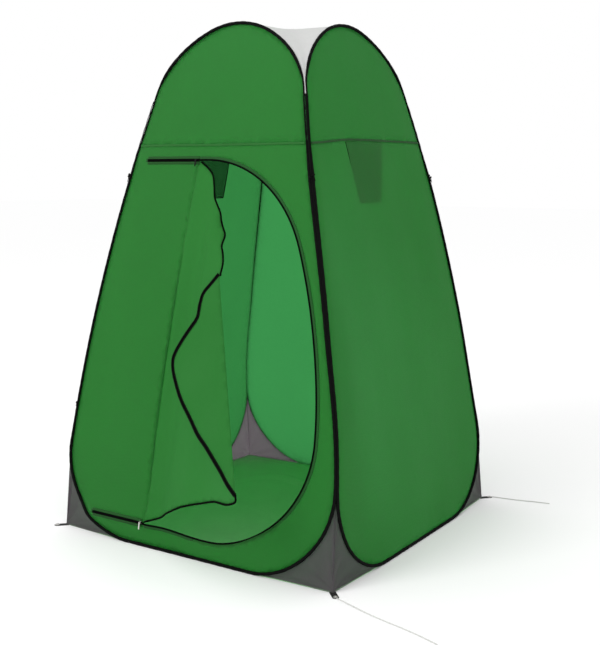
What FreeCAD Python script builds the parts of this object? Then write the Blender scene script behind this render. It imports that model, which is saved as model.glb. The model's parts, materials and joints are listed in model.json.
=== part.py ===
import FreeCAD, Part
import math
import os

# Pop-up privacy shower tent, all lengths in millimetres.
# The origin is the middle of the floor, on the ground. +Z is up, the door faces -Y and +X is the
# wall to the right of the door. Each wall is drawn flat, with u running right as seen from outside,
# v running up the slope and w pointing out of the tent, and is then stood up in its place.

V = FreeCAD.Vector

# ---- whole tent ----
HEIGHT = 1900.0                 # ground to the top of the arches
WALL_FOOT = 645.0               # centre to the wall planes at ground level
WALL_LEAN = 0.178               # how far a wall leans in, per unit of height
GROUND_CORNER = 608.0           # centre to the pegged fabric corners, along X and along Y
CLOTH = 1.0                     # thickness given to every fabric sheet

# ---- spring hoops ----
WIRE_RADIUS = 1.75
SLEEVE_BORE = 2.0
SLEEVE_RADIUS = 4.0
HOOP_FROM_SEAM = 8.0            # hoop centreline to the corner seam line
HOOP_OUT = 4.0                  # hoop centreline in front of the hinge plane
HOOP_CORNER = 275.0             # radius of the two lower corners
HOOP_BOTTOM = 4.2               # height of the hoop centreline along the ground
CLOTH_INSET = 4.1               # hoop centreline to the edge of the fabric

# ---- ties ----
TIE_RIGHT_HEIGHT = 1338.0
TIE_LEFT_HEIGHT = 1352.0
TIE_LOW_HEIGHT = 490.0
TIE_LENGTH = 5.0
TIE_THICK = 1.8
TIE_KNOT = 2.6
TIE_CLEAR = 1.2                 # a tie keeps this far in front of the hoop's centreline
TIE_FROM_SLEEVE = 0.15          # and this far off the sleeve

# ---- walls ----
SEAM_HEIGHT = 1462.0            # horizontal seam across every wall
SEAM_TAPE = 12.0
SEAM_SHORT = 2.0                # the seam's ends to the sleeves
TAPE = 0.8                      # thickness of tapes and bindings
CREASE_HALF = 1.2               # half the gap between the two gusset halves at the peg
GUSSET_FACETS = 12              # flat facets in each half of a corner gusset
GUSSET_FROM = -86.0             # a gusset's rim starts here on the hoop's round corner, in degrees
GUSSET_SHORT = 0.4              # and stops this many degrees short of the corner's end
GUSSET_OUT = 3.2                # the rim lies this far outside the hoop's centreline
GUSSET_BEHIND = 3.0             # and this far behind it
GUSSET_OVER_TAB = 0.2           # its pegged corner lies this far above the peg tab
SEAM_FROM_SLEEVE = 0.3          # corner seam strip to the sleeves it joins

# ---- roof ----
ROOF_FROM_ARCH = 5.4            # roof fabric above the arches' centrelines
GORE_SHORT = 2.0                # a gore stops this many degrees short of an arch's top
ROOF_CORNER = 3.0               # the middle's corners lie this many degrees either side of it
ROOF_SHRINK = 0.985             # the middle's size, as a share of the arch tops' square
ROOF_LIFT = 0.4                 # the middle lies this far above its corners on the arches

# ---- floor ----
FLOOR_IN = 3.0                  # the floor's edge behind the foot of each wall
FLOOR_SHORT = 8.0               # its corners stop this far short of the pegged corners

# ---- door ----
DOOR_TOP = 1405.0
DOOR_BOTTOM = 92.0
FOLD_TOP = -94.0                # the line the flap swings on, at the door's top edge
FOLD_FOOT = -186.0              # the same line at the door's bottom edge
DOOR_WIDEST = 502.0             # the rounded side's furthest reach from the middle of the wall
DOOR_FOOT_RADIUS = 386.0        # its three arcs, from the bottom up
DOOR_SIDE_RADIUS = 1400.0
DOOR_TOP_RADIUS = 362.0
ZIP_TAPE = 9.0                  # width of the tape sewn round the opening
ZIP_BEAD = 2.4                  # width of one row of zip teeth
ZIP_RISE = 2.0                  # height of the teeth above the fabric
STOP_LENGTH = 9.0               # the bar-tacks at the zip's ends
STOP_WIDTH = 14.0
STOP_THICK = 1.4
UPPER_ZIP_END = -340.0
LOWER_ZIP_END = -440.0
CLOSED_ZIP_GAP = 1.6            # zipped-up teeth to the fold line
FLAP_GAP = 6.5                  # zip line to the flap fabric when closed
FLAP_FROM_FOLD = 1.0            # fold line to the flap fabric
FLAP_TEETH = 3.4                # width of the flap's own row of teeth
TEETH_FROM_FOLD = 9.0           # the flap's teeth start this far from its fold line
FLAP_SWING = 24.0               # how far the flap hangs open, in degrees
TURNED_TOP = -10.0              # the turned-back corner's fold line meets the top edge here
TURNED_FOOT = (450.0, 280.0)    # and meets the curve here
TURNED_BACK = 165.0             # how far that corner is turned back, in degrees
TURN_LIFT = 2.6                 # its hinge line in front of the flap's face
TURN_GAP = 0.6                  # the fold line to the fabric on either side of it

# ---- zip sliders ----
SLIDER_LENGTH = 11.0
SLIDER_WIDTH = 8.4
SLIDER_PLATE = 1.6
SLIDER_RAIL = 1.4
SLIDER_CLEAR = 0.4              # slider plate to the teeth, and pull eye to the plate
POST = 1.5                      # width of the posts that hold the pin
PIN_LENGTH = 6.8
SLIDER_BACK = 14.0              # slider centre left of the flap's fold line
PULL_PIN = 1.0
PULL_BORE = 1.06
PULL_EYE = 2.4
PULL_LENGTH = 24.0
PULL_WIDTH = 5.0
PULL_THICK = 1.6

# ---- pegging points ----
TAB_LENGTH = 46.0
TAB_WIDTH = 22.0
TAB_THICK = 1.6
TAB_UNDER = 10.0                # the tab runs this far in under the pegged corner
EYELET_BORE = 6.0
EYELET_RIM = 9.0
EYELET_HOLE = 7.0               # the hole in the tab that the eyelet sits in
EYELET_HEIGHT = 4.0
EYELET_FIT = 0.05               # eyelet to the tab all round
CORD_RADIUS = 1.5
FRONT_CORD = 430.0              # length of the cord lying at the front right corner
FRONT_CORD_HEADING = -16.0      # its direction on the ground, in degrees from +X
RIGHT_CORD = 240.0              # the same for the back right corner
RIGHT_CORD_HEADING = 10.0

# ---- inner pockets ----
POCKET_MIDDLE = -50.0           # along the wall, from its middle
POCKET_WIDTH = 236.0
POCKET_DEPTH = 200.0
POCKET_BELLY = 16.0             # how far the net stands off the wall
POCKET_DROP = 8.0               # seam line to the pocket's top

FRONT, RIGHT, BACK, LEFT = 0, 1, 2, 3
WALL_NAMES = ["front", "right", "back", "left"]

LEAN_ANGLE = math.atan(WALL_LEAN)
LEAN_SIN = math.sin(LEAN_ANGLE)
LEAN_COS = math.cos(LEAN_ANGLE)
EDGE_ANGLE = math.atan(LEAN_SIN)
EDGE_SIN = math.sin(EDGE_ANGLE)
EDGE_COS = math.cos(EDGE_ANGLE)
EDGE_LINE = WALL_FOOT * EDGE_COS - HOOP_FROM_SEAM
HOOP_TOP = (HEIGHT - SLEEVE_RADIUS - HOOP_OUT * LEAN_SIN) / LEAN_COS
ARCH_RADIUS = (EDGE_LINE - HOOP_TOP * EDGE_SIN) / (1.0 - EDGE_SIN)
ARCH_CENTRE = HOOP_TOP - ARCH_RADIUS
CORNER_V = HOOP_BOTTOM + HOOP_CORNER
CORNER_U = (EDGE_LINE - HOOP_CORNER - EDGE_SIN * CORNER_V) / EDGE_COS
CLOTH_BACK = HOOP_OUT - CLOTH / 2.0
CLOTH_FACE = HOOP_OUT + CLOTH / 2.0


def up_slope(height):
    """Distance up a wall's slope to a point at this height."""
    return height / LEAN_COS


def wall_placement(turns):
    """Stands a flat wall up: turns counts quarter turns from the front wall."""
    lean = FreeCAD.Rotation(V(1, 0, 0), 90.0 - math.degrees(LEAN_ANGLE))
    quarter = FreeCAD.Rotation(V(0, 0, 1), 90.0 * turns)
    foot = quarter.multVec(V(0, -WALL_FOOT, 0))
    return FreeCAD.Placement(foot, quarter.multiply(lean))


def stand(shape, turns):
    """The shape, moved from the flat wall to its place in the tent."""
    moved = shape.copy()
    moved.Placement = wall_placement(turns).multiply(moved.Placement)
    return moved


def at(turns, u, v, w):
    """A point of a wall, in the tent's frame."""
    return wall_placement(turns).multVec(V(u, v, w))


def arc(centre_u, centre_v, radius, start, middle, end, w=0.0):
    """An arc in a wall's plane through three angles in degrees, anticlockwise from +u."""
    points = []
    for angle in (start, middle, end):
        turn = math.radians(angle)
        points.append(V(centre_u + radius * math.cos(turn), centre_v + radius * math.sin(turn), w))
    return Part.Arc(*points).toShape()


def hoop_edges(inset, w):
    """The hoop's outline: arch, two straight sides, two round corners and a straight foot."""
    edge = math.degrees(EDGE_ANGLE)
    arch = ARCH_RADIUS - inset
    corner = HOOP_CORNER - inset
    top = arc(0, ARCH_CENTRE, arch, edge, 90, 180 - edge, w)
    right = arc(CORNER_U, CORNER_V, corner, -90, (edge - 90) / 2, edge, w)
    left = arc(-CORNER_U, CORNER_V, corner, 180 - edge, 225 - edge / 2, 270, w)
    edges = [right, top, left]
    edges.insert(1, Part.makeLine(right.Vertexes[-1].Point, top.Vertexes[0].Point))
    edges.insert(3, Part.makeLine(top.Vertexes[-1].Point, left.Vertexes[0].Point))
    edges.append(Part.makeLine(left.Vertexes[-1].Point, right.Vertexes[0].Point))
    return edges


def hoop_ring(radius, bore=0.0):
    """A round bar, or a tube, bent along the hoop."""
    start = V(0, HOOP_BOTTOM, HOOP_OUT)
    *bends, foot = hoop_edges(0.0, HOOP_OUT)
    first_half = Part.makeLine(start, foot.Vertexes[-1].Point)
    last_half = Part.makeLine(foot.Vertexes[0].Point, start)
    path = Part.Wire([first_half] + bends + [last_half])
    section = Part.Wire(Part.makeCircle(radius, start, V(1, 0, 0)))
    ring = path.makePipeShell([section], True, True)
    if bore:
        hole = path.makePipeShell([Part.Wire(Part.makeCircle(bore, start, V(1, 0, 0)))], True, True)
        ring = ring.cut(hole)
    return ring


def sheet(edges, low, high):
    """A flat closed outline made into a sheet between two distances in front of the hinge plane."""
    face = Part.Face(Part.Wire(edges))
    face.translate(V(0, 0, low))
    return face.extrude(V(0, 0, high - low))


def band(low_v, high_v, low, high):
    """A slab across a whole wall, used to keep part of a panel."""
    return Part.makeBox(4 * WALL_FOOT, high_v - low_v, high - low, V(-2 * WALL_FOOT, low_v, low))


def half_width(v):
    """Half the width of the hoop's centreline, from v, between its corners and its arch."""
    return (EDGE_LINE - EDGE_SIN * v) / EDGE_COS


# ---- door outlines, in a wall's own u and v ----

def fold_u(v):
    """Where the flap's fold line is at v."""
    top, foot = up_slope(DOOR_TOP), up_slope(DOOR_BOTTOM)
    return FOLD_FOOT + (FOLD_TOP - FOLD_FOOT) * (v - foot) / (top - foot)


def left_of_fold(gap):
    """A slab that holds everything left of a line this far right of the fold line."""
    top, foot = 2 * HEIGHT, -HEIGHT
    points = [V(fold_u(foot) + gap, foot, -50), V(fold_u(top) + gap, top, -50),
              V(-3 * HEIGHT, top, -50), V(-3 * HEIGHT, foot, -50)]
    return Part.Face(Part.makePolygon(points + points[:1])).extrude(V(0, 0, 100))


def door_edges(inset):
    """The doorway moved in by inset: top, three tangent arcs, foot, and a side well left of the fold."""
    top, foot = up_slope(DOOR_TOP), up_slope(DOOR_BOTTOM)
    widest_v = foot + DOOR_FOOT_RADIUS
    side_u = DOOR_WIDEST - DOOR_SIDE_RADIUS
    foot_u = DOOR_WIDEST - DOOR_FOOT_RADIUS
    top_v = top - DOOR_TOP_RADIUS
    top_u = side_u + math.sqrt((DOOR_SIDE_RADIUS - DOOR_TOP_RADIUS) ** 2 - (top_v - widest_v) ** 2)
    meet = math.degrees(math.atan2(top_v - widest_v, top_u - side_u))
    bends = [arc(foot_u, widest_v, DOOR_FOOT_RADIUS - inset, -90, -45, 0),
             arc(side_u, widest_v, DOOR_SIDE_RADIUS - inset, 0, meet / 2, meet),
             arc(top_u, top_v, DOOR_TOP_RADIUS - inset, meet, (meet + 90) / 2, 90)]
    far_left = FOLD_FOOT - 200.0
    corners = [V(top_u, top - inset, 0), V(far_left, top - inset, 0), V(far_left, foot + inset, 0),
               V(foot_u, foot + inset, 0)]
    return bends + [Part.makeLine(a, b) for a, b in zip(corners, corners[1:])]


def door_slab(inset, fold_gap, low, high):
    """A D-shaped slab: the doorway moved in by inset, and cut off at the fold line on its left."""
    return sheet(door_edges(inset), low, high).cut(left_of_fold(fold_gap))


# ---- walls ----

def wall_cloth():
    """A whole wall's fabric, inside its hoop."""
    return sheet(hoop_edges(CLOTH_INSET, 0.0), CLOTH_BACK, CLOTH_FACE)


def upper_panel():
    return wall_cloth().common(band(up_slope(SEAM_HEIGHT), 2 * HEIGHT, 0, HOOP_OUT * 2))


def lower_panel():
    return wall_cloth().common(band(-HEIGHT, up_slope(SEAM_HEIGHT), 0, HOOP_OUT * 2))


def door_panel():
    """The front wall's lower panel, with the doorway cut out."""
    return lower_panel().cut(door_slab(0.0, 0.0, -1, HOOP_OUT * 3))


def seam_tape():
    """The flat-felled seam across a wall."""
    v = up_slope(SEAM_HEIGHT)
    half = half_width(v + SEAM_TAPE / 2) - SLEEVE_RADIUS - SEAM_SHORT
    return Part.makeBox(2 * half, SEAM_TAPE, TAPE, V(-half, v - SEAM_TAPE / 2, CLOTH_FACE))


def ground_corner(turns, side):
    """The pegged corner of one half-gusset, a hair to its own side of the crease."""
    corner = turns if side > 0 else turns - 1
    quarter = FreeCAD.Rotation(V(0, 0, 1), 90.0 * corner)
    spot = V(GROUND_CORNER, -GROUND_CORNER, TAB_THICK + GUSSET_OVER_TAB)
    nudge = V(-CREASE_HALF, 0, 0) if side > 0 else V(0, CREASE_HALF, 0)
    return quarter.multVec(spot + nudge)


def half_gusset(turns, side):
    """Fabric drawn from the hoop's round corner down to the pegged corner, in flat facets."""
    last = math.degrees(EDGE_ANGLE) - GUSSET_SHORT
    facet = math.radians(last - GUSSET_FROM) / GUSSET_FACETS
    reach = (HOOP_CORNER + GUSSET_OUT) / math.cos(facet / 2)
    tip = ground_corner(turns, side)
    inward = wall_placement(turns).Rotation.multVec(V(0, 0, -1)) * CLOTH
    rim = []
    for step in range(GUSSET_FACETS + 1):
        turn = math.radians(GUSSET_FROM) + facet * step
        u = side * (CORNER_U + reach * math.cos(turn))
        rim.append(at(turns, u, CORNER_V + reach * math.sin(turn), HOOP_OUT - GUSSET_BEHIND))
    facets = [Part.Face(Part.makePolygon([tip, a, b, tip])).extrude(inward) for a, b in zip(rim, rim[1:])]
    return facets[0].multiFuse(facets[1:]).removeSplitter()


def corner_seam(turns):
    """The stitched strip that joins one wall's sleeve to the next wall's sleeve."""
    low = CORNER_V + HOOP_CORNER * EDGE_SIN
    high = ARCH_CENTRE + ARCH_RADIUS * EDGE_SIN
    rails = []
    for v in (low, high):
        near = half_width(v) + (SLEEVE_RADIUS + SEAM_FROM_SLEEVE) * EDGE_COS
        a = at(turns, near, v, HOOP_OUT)
        b = at((turns + 1) % 4, -near, v, HOOP_OUT)
        rails.append((a, b))
    (a0, b0), (a1, b1) = rails
    strip = Part.Face(Part.makePolygon([a0, b0, b1, a1, a0]))
    outward = V(a0.x + b0.x, a0.y + b0.y, 0).normalize()
    return strip.extrude(outward * CLOTH)


def tie(side, height):
    """A short cord sewn over the outer side of the sleeve and knotted on top of it."""
    v = up_slope(height)
    centre = V(side * half_width(v), v, HOOP_OUT)
    along = V(-side * EDGE_SIN, EDGE_COS, 0)
    start = centre - along * (TIE_LENGTH / 2)
    loop = Part.makeCylinder(SLEEVE_RADIUS + TIE_THICK, TIE_LENGTH, start, along)
    knot = Part.makeSphere(TIE_KNOT, centre + V(0, 0, SLEEVE_RADIUS + TIE_KNOT))
    sleeve_start = centre - along * (2 * TIE_LENGTH)
    sleeve = Part.makeCylinder(SLEEVE_RADIUS + TIE_FROM_SLEEVE, 4 * TIE_LENGTH, sleeve_start, along)
    behind = Part.makeBox(60, 60, 60, V(centre.x - 30, centre.y - 30, HOOP_OUT + TIE_CLEAR - 60))
    return loop.fuse(knot).cut(sleeve).cut(behind)


# ---- roof and floor ----

def roof_gore(turns):
    """A roof sheet ruled between the arches of two neighbouring walls."""
    reach = ARCH_RADIUS + ROOF_FROM_ARCH
    edge = math.degrees(EDGE_ANGLE)
    last = 90.0 - GORE_SHORT
    here = stand(arc(0, ARCH_CENTRE, reach, edge + 1, (edge + last) / 2, last, w=HOOP_OUT), turns)
    there = stand(arc(0, ARCH_CENTRE, reach, 179 - edge, 180 - (edge + last) / 2, 180 - last, w=HOOP_OUT),
                  (turns + 1) % 4)
    face = Part.makeRuledSurface(here, there).Faces[0]
    return face.extrude(V(0, 0, -CLOTH))


def roof_top():
    """The flat square of roof between the four arch tops."""
    reach = ARCH_RADIUS + ROOF_FROM_ARCH
    corners = []
    for turns in range(4):
        for angle in (90.0 + ROOF_CORNER, 90.0 - ROOF_CORNER):
            turn = math.radians(angle)
            spot = at(turns, reach * math.cos(turn), ARCH_CENTRE + reach * math.sin(turn), HOOP_OUT)
            corners.append(V(spot.x * ROOF_SHRINK, spot.y * ROOF_SHRINK, spot.z + ROOF_LIFT))
    level = min(c.z for c in corners)
    corners = [V(c.x, c.y, level) for c in corners]
    return Part.Face(Part.makePolygon(corners + corners[:1])).extrude(V(0, 0, CLOTH))


def floor_sheet():
    """Floor, straight along each hoop's foot and drawn in to the pegged corners."""
    side = WALL_FOOT - FLOOR_IN
    reach = GROUND_CORNER - FLOOR_SHORT
    corners = []
    for turns in range(4):
        quarter = FreeCAD.Rotation(V(0, 0, 1), 90.0 * turns)
        for spot in (V(-CORNER_U, -side, 0), V(CORNER_U, -side, 0), V(reach, -reach, 0)):
            corners.append(quarter.multVec(spot))
    return Part.Face(Part.makePolygon(corners + corners[:1])).extrude(V(0, 0, CLOTH))


# ---- door zip ----

def zip_rail(inset, width, fold_gap, low, high):
    """A strip of even width that follows the door's top, curve and bottom."""
    return door_slab(inset, fold_gap, low, high).cut(door_slab(inset + width, -60.0, low - 1, high + 1))


def door_zip():
    """Tape sewn round the doorway on the wall, with one row of teeth at its edge."""
    tape = zip_rail(-ZIP_TAPE, ZIP_TAPE, 0.0, CLOTH_FACE, CLOTH_FACE + TAPE)
    teeth = zip_rail(-ZIP_BEAD, ZIP_BEAD, 0.0, CLOTH_FACE, CLOTH_FACE + ZIP_RISE)
    return tape.fuse(teeth)


def closed_zip(height, start, end):
    """A zipped-up length: both tapes and the meshed teeth, straight along the wall."""
    v = up_slope(height)
    tape = Part.makeBox(end - start, 2 * ZIP_TAPE, TAPE, V(start, v - ZIP_TAPE, CLOTH_FACE))
    teeth = Part.makeBox(end - start, 2 * ZIP_BEAD, ZIP_RISE, V(start, v - ZIP_BEAD, CLOTH_FACE))
    return tape.fuse(teeth)


def zip_stop(height, end):
    """The bar-tack that ends the zip."""
    v = up_slope(height)
    corner = V(end - STOP_LENGTH - 0.5, v - STOP_WIDTH / 2, CLOTH_FACE)
    return Part.makeBox(STOP_LENGTH, STOP_WIDTH, STOP_THICK, corner)


# ---- door flap ----

def turned_line():
    """The turned-back corner's fold line on the closed flap: its top end and its direction."""
    top = V(TURNED_TOP, up_slope(DOOR_TOP), 0)
    foot = V(TURNED_FOOT[0], up_slope(TURNED_FOOT[1]), 0)
    return top, (foot - top).normalize()


def flap_side(keep_corner, gap):
    """A large slab on one side of the turned-back corner's fold line."""
    start, along = turned_line()
    across = V(-along.y, along.x, 0)
    if not keep_corner:
        across = across * -1
    reach = 3 * HEIGHT
    a = start - along * reach + across * gap
    b = start + along * reach + across * gap
    points = [a, b, b + across * reach, a + across * reach]
    return Part.Face(Part.makePolygon([p - V(0, 0, 50) for p in points + points[:1]])).extrude(V(0, 0, 100))


def flap_cloth():
    """The whole flap, closed."""
    return door_slab(FLAP_GAP, FLAP_FROM_FOLD, CLOTH_BACK, CLOTH_FACE)


def flap_teeth():
    """The flap's own row of teeth, closed, on its outer face."""
    return zip_rail(FLAP_GAP, FLAP_TEETH, TEETH_FROM_FOLD, CLOTH_FACE, CLOTH_FACE + ZIP_RISE)


def swing_flap(shape):
    """Hangs a closed flap piece open about the fold line, on the wall's outer face."""
    foot, top = up_slope(DOOR_BOTTOM), up_slope(DOOR_TOP)
    base = V(fold_u(foot), foot, CLOTH_FACE)
    axis = V(fold_u(foot) - fold_u(top), foot - top, 0)
    moved = shape.copy()
    moved.rotate(base, axis, FLAP_SWING)
    return moved


def turn_back(shape):
    """Turns the flap's far corner back over its outer face."""
    start, along = turned_line()
    moved = shape.copy()
    moved.rotate(start + V(0, 0, CLOTH_FACE + TURN_LIFT), along, TURNED_BACK)
    return moved


# ---- sliders ----

def pin_height():
    """How far a pull's pin lies in front of the hinge plane."""
    return CLOTH_FACE + ZIP_RISE + SLIDER_CLEAR + SLIDER_PLATE + PULL_EYE + SLIDER_CLEAR


def slider(u, height):
    """A channel that rides over the meshed teeth, with two posts and a pin for its pull."""
    v = up_slope(height)
    left = u - SLIDER_LENGTH / 2
    base = CLOTH_FACE + TAPE + SLIDER_CLEAR / 2
    top = CLOTH_FACE + ZIP_RISE + SLIDER_CLEAR
    face = top + SLIDER_PLATE
    body = Part.makeBox(SLIDER_LENGTH, SLIDER_WIDTH, SLIDER_PLATE, V(left, v - SLIDER_WIDTH / 2, top))
    for rail_v in (v - SLIDER_WIDTH / 2, v + SLIDER_WIDTH / 2 - SLIDER_RAIL):
        body = body.fuse(Part.makeBox(SLIDER_LENGTH, SLIDER_RAIL, top - base, V(left, rail_v, base)))
    for post_u in (u - PIN_LENGTH / 2 - POST / 2, u + PIN_LENGTH / 2 - POST / 2):
        post_height = pin_height() + PULL_PIN - face
        body = body.fuse(Part.makeBox(POST, 2 * POST, post_height, V(post_u, v - POST, face)))
    pin = Part.makeCylinder(PULL_PIN, PIN_LENGTH, V(u - PIN_LENGTH / 2, v, pin_height()), V(1, 0, 0))
    return body.fuse(pin)


def pull(u, height):
    """The pull tab, hanging from the slider's pin."""
    v = up_slope(height)
    left = u - PULL_WIDTH / 2
    eye = Part.makeCylinder(PULL_EYE, PULL_WIDTH, V(left, v, pin_height()), V(1, 0, 0))
    tab_low = pin_height() + PULL_EYE - PULL_THICK
    tab = Part.makeBox(PULL_WIDTH, PULL_LENGTH, PULL_THICK, V(left, v - PULL_LENGTH, tab_low))
    bore = Part.makeCylinder(PULL_BORE, 2 * PULL_WIDTH, V(left - PULL_WIDTH / 2, v, pin_height()), V(1, 0, 0))
    return eye.fuse(tab).cut(bore)


# ---- inner pockets ----

def pocket(middle):
    """An open-topped net pocket hung from the seam on a wall's inner face."""
    top = up_slope(SEAM_HEIGHT) - POCKET_DROP
    foot = top - POCKET_DEPTH
    left = middle - POCKET_WIDTH / 2
    bend = foot + POCKET_DEPTH * 0.15
    low_belly = POCKET_BELLY * 0.8
    outline = [V(left, top, 0), V(left, top, -POCKET_BELLY), V(left, bend, -low_belly),
               V(left, foot, -2 * CLOTH), V(left, foot, 0)]
    outer = Part.Face(Part.makePolygon(outline + outline[:1])).extrude(V(POCKET_WIDTH, 0, 0))
    hollow = [V(left, top + 5, -CLOTH), V(left, top + 5, CLOTH - POCKET_BELLY),
              V(left, bend, CLOTH - low_belly), V(left, foot + 8, -3 * CLOTH)]
    inner_width = POCKET_WIDTH - 2 * CLOTH
    void = Part.Face(Part.makePolygon(hollow + hollow[:1])).extrude(V(inner_width, 0, 0))
    void.translate(V(CLOTH, 0, 0))
    body = outer.cut(void)
    body.translate(V(0, 0, CLOTH_BACK))
    return body


# ---- pegging points ----

def corner_turn(turns):
    return FreeCAD.Placement(V(0, 0, 0), FreeCAD.Rotation(V(0, 0, 1), 90.0 * turns - 45.0))


def peg_tab(turns):
    """A webbing tab that runs out from a pegged corner along the ground."""
    start = GROUND_CORNER * math.sqrt(2.0) - TAB_UNDER
    far = start + TAB_UNDER + TAB_LENGTH
    strap = Part.makeBox(far - start - TAB_WIDTH / 2, TAB_WIDTH, TAB_THICK, V(start, -TAB_WIDTH / 2, 0))
    nose = Part.makeCylinder(TAB_WIDTH / 2, TAB_THICK, V(far - TAB_WIDTH / 2, 0, 0))
    hole = Part.makeCylinder(EYELET_HOLE, 3 * TAB_THICK, V(far - TAB_WIDTH / 2, 0, -TAB_THICK))
    tab = strap.fuse(nose).cut(hole)
    tab.Placement = corner_turn(turns)
    return tab


def peg_eyelet(turns):
    """The ring a peg is pushed through."""
    far = GROUND_CORNER * math.sqrt(2.0) + TAB_LENGTH - TAB_WIDTH / 2
    barrel = Part.makeCylinder(EYELET_HOLE - EYELET_FIT, EYELET_HEIGHT, V(far, 0, 0))
    rim_low = TAB_THICK + EYELET_FIT
    rim = Part.makeCylinder(EYELET_RIM, EYELET_HEIGHT - rim_low, V(far, 0, rim_low))
    ring = barrel.fuse(rim).cut(Part.makeCylinder(EYELET_BORE, 3 * EYELET_HEIGHT, V(far, 0, -EYELET_HEIGHT)))
    ring.Placement = corner_turn(turns)
    return ring


def cord(turns, heading, length):
    """A loose cord lying on the ground, tied to a pegged corner's tab."""
    far = (GROUND_CORNER * math.sqrt(2.0) + TAB_LENGTH + CORD_RADIUS + 0.4) / math.sqrt(2.0)
    quarter = FreeCAD.Rotation(V(0, 0, 1), 90.0 * turns)
    start = quarter.multVec(V(far, -far, CORD_RADIUS))
    along = V(math.cos(math.radians(heading)), math.sin(math.radians(heading)), 0)
    return Part.makeCylinder(CORD_RADIUS, length, start, along)


def together(shapes):
    """The shapes' solids, kept apart in one compound, or the one solid on its own."""
    solids = [solid for shape in shapes for solid in shape.Solids]
    return solids[0] if len(solids) == 1 else Part.makeCompound(solids)


def save(name, shape):
    os.makedirs("parts", exist_ok=True)
    together([shape]).exportStep(os.path.join("parts", name + ".step"))


def save_walls():
    """Everything that each of the four walls carries alike."""
    wire = hoop_ring(WIRE_RADIUS)
    sleeve = hoop_ring(SLEEVE_RADIUS, SLEEVE_BORE)
    for turns, name in enumerate(WALL_NAMES):
        save("hoop_wire_" + name, stand(wire, turns))
        save("hoop_sleeve_" + name, stand(sleeve, turns))
        save("panel_upper_" + name, stand(upper_panel(), turns))
        lower = door_panel() if turns == FRONT else lower_panel()
        save("panel_lower_" + name, stand(lower, turns))
        save("seam_tape_" + name, stand(seam_tape(), turns))
        save("gussets_" + name, together([half_gusset(turns, 1), half_gusset(turns, -1)]))
        save("corner_seam_" + name, corner_seam(turns))
        ties = [tie(1, TIE_RIGHT_HEIGHT), tie(-1, TIE_LEFT_HEIGHT)]
        if turns == FRONT:
            ties.append(tie(-1, TIE_LOW_HEIGHT))
        save("ties_" + name, stand(together(ties), turns))
        save("peg_tab_" + name, peg_tab(turns))
        save("peg_eyelet_" + name, peg_eyelet(turns))


def save_door():
    """The zip, the flap and its turned-back corner, the sliders and their pulls."""
    upper_slider = FOLD_TOP - SLIDER_BACK
    lower_slider = FOLD_FOOT - SLIDER_BACK
    closed = [closed_zip(DOOR_TOP, UPPER_ZIP_END, FOLD_TOP - CLOSED_ZIP_GAP),
              closed_zip(DOOR_BOTTOM, LOWER_ZIP_END, FOLD_FOOT - CLOSED_ZIP_GAP)]
    stops = [zip_stop(DOOR_TOP, UPPER_ZIP_END), zip_stop(DOOR_BOTTOM, LOWER_ZIP_END)]
    save("zip_doorway", stand(door_zip(), FRONT))
    save("zip_closed", stand(together(closed), FRONT))
    save("zip_stops", stand(together(stops), FRONT))
    near = flap_side(False, TURN_GAP)
    far = flap_side(True, TURN_GAP)
    save("flap", stand(swing_flap(flap_cloth().common(near)), FRONT))
    save("flap_teeth", stand(swing_flap(flap_teeth().common(near)), FRONT))
    save("flap_corner", stand(swing_flap(turn_back(flap_cloth().common(far))), FRONT))
    save("flap_corner_teeth", stand(swing_flap(turn_back(flap_teeth().common(far))), FRONT))
    save("slider_upper", stand(slider(upper_slider, DOOR_TOP), FRONT))
    save("slider_lower", stand(slider(lower_slider, DOOR_BOTTOM), FRONT))
    save("pull_upper", stand(pull(upper_slider, DOOR_TOP), FRONT))
    save("pull_lower", stand(pull(lower_slider, DOOR_BOTTOM), FRONT))


def save_rest():
    """Roof, floor, inner pockets and loose cords."""
    save("roof_gores", together([roof_gore(turns) for turns in range(4)]))
    save("roof_top", roof_top())
    save("floor", floor_sheet())
    save("pocket_right", stand(pocket(POCKET_MIDDLE), RIGHT))
    save("pocket_left", stand(pocket(POCKET_MIDDLE), LEFT))
    save("cord_front", cord(FRONT, FRONT_CORD_HEADING, FRONT_CORD))
    save("cord_right", cord(RIGHT, RIGHT_CORD_HEADING, RIGHT_CORD))


save_walls()
save_door()
save_rest()
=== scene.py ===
import json
import math

import bmesh
import bpy
import numpy as np
from mathutils import Matrix, Vector
from mathutils.geometry import delaunay_2d_cdt


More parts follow.
